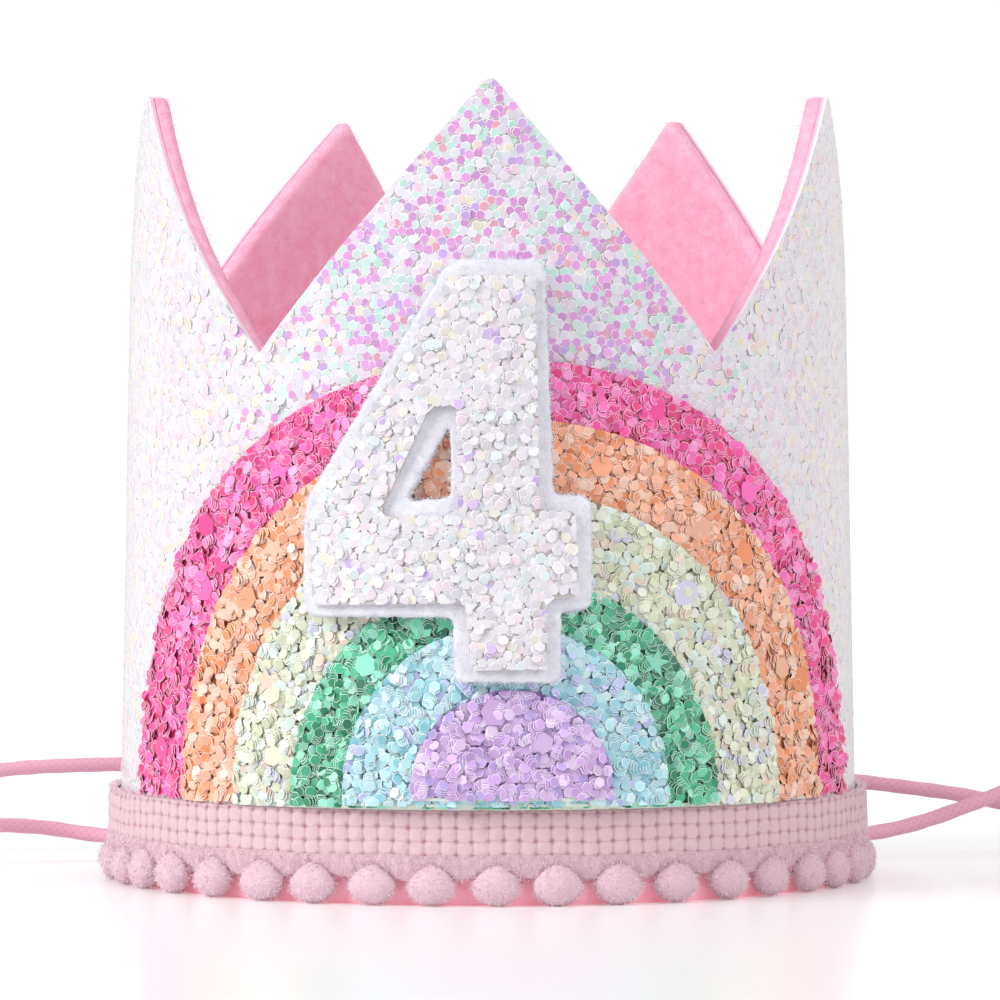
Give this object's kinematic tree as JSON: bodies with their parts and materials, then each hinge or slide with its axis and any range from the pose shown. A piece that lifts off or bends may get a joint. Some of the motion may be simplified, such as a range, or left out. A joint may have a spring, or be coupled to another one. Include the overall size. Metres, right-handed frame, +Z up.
{
  "type": "party crown",
  "caption": "Small felt and glitter party crown with cut points, a rainbow, a numeral, a pom-pom trim and a thin elastic.",
  "frame": {"origin": "on the axis of the crown, in the plane of the felt's lower edge, on which it stands", "axes": "+Z up along the axis of the crown, -Y towards the front with the numeral, +X to the right as seen from the front"},
  "size_m": [0.2296, 0.1147, 0.1102],
  "materials": {
    "glitter_white": "chunky iridescent glitter canvas, white with pink and mint flakes",
    "felt_pink": "matt pressed felt",
    "glitter_pink": "chunky glitter canvas, hot pink",
    "glitter_orange": "chunky glitter canvas, apricot orange",
    "glitter_cream": "chunky glitter canvas, pale green cream",
    "glitter_green": "chunky glitter canvas, green",
    "glitter_aqua": "chunky glitter canvas, pale aqua",
    "glitter_lilac": "chunky glitter canvas, lilac",
    "felt_white": "matt pressed felt",
    "glitter_pearl": "chunky glitter canvas, pearl white",
    "trim_pink": "knitted braid, soft matt",
    "pompom_pink": "fluffy yarn",
    "elastic_pink": "thin satin elastic"
  },
  "bodies": {
    "root": {"glitter_shell": "glitter_white", "felt_lining": "felt_pink", "rainbow_pink": "glitter_pink", "rainbow_orange": "glitter_orange", "rainbow_cream": "glitter_cream", "rainbow_green": "glitter_green", "rainbow_aqua": "glitter_aqua", "rainbow_lilac": "glitter_lilac", "numeral_backing": "felt_white", "numeral_face": "glitter_pearl", "trim_braid": "trim_pink", "pompom_01": "pompom_pink", "pompom_02": "pompom_pink", "pompom_03": "pompom_pink", "pompom_04": "pompom_pink", "pompom_05": "pompom_pink", "pompom_06": "pompom_pink", "pompom_07": "pompom_pink", "pompom_08": "pompom_pink", "pompom_09": "pompom_pink", "pompom_10": "pompom_pink", "pompom_11": "pompom_pink", "pompom_12": "pompom_pink", "pompom_13": "pompom_pink", "pompom_14": "pompom_pink", "pompom_15": "pompom_pink", "pompom_16": "pompom_pink", "pompom_17": "pompom_pink", "pompom_18": "pompom_pink", "pompom_19": "pompom_pink", "pompom_20": "pompom_pink", "pompom_21": "pompom_pink", "pompom_22": "pompom_pink", "pompom_23": "pompom_pink", "pompom_24": "pompom_pink", "pompom_25": "pompom_pink", "pompom_26": "pompom_pink", "pompom_27": "pompom_pink", "pompom_28": "pompom_pink", "pompom_29": "pompom_pink", "pompom_30": "pompom_pink", "pompom_31": "pompom_pink", "pompom_32": "pompom_pink", "pompom_33": "pompom_pink", "pompom_34": "pompom_pink", "pompom_35": "pompom_pink", "pompom_36": "pompom_pink", "pompom_37": "pompom_pink", "pompom_38": "pompom_pink", "pompom_39": "pompom_pink", "pompom_40": "pompom_pink", "elastic": "elastic_pink"}
  },
  "joints": []
}
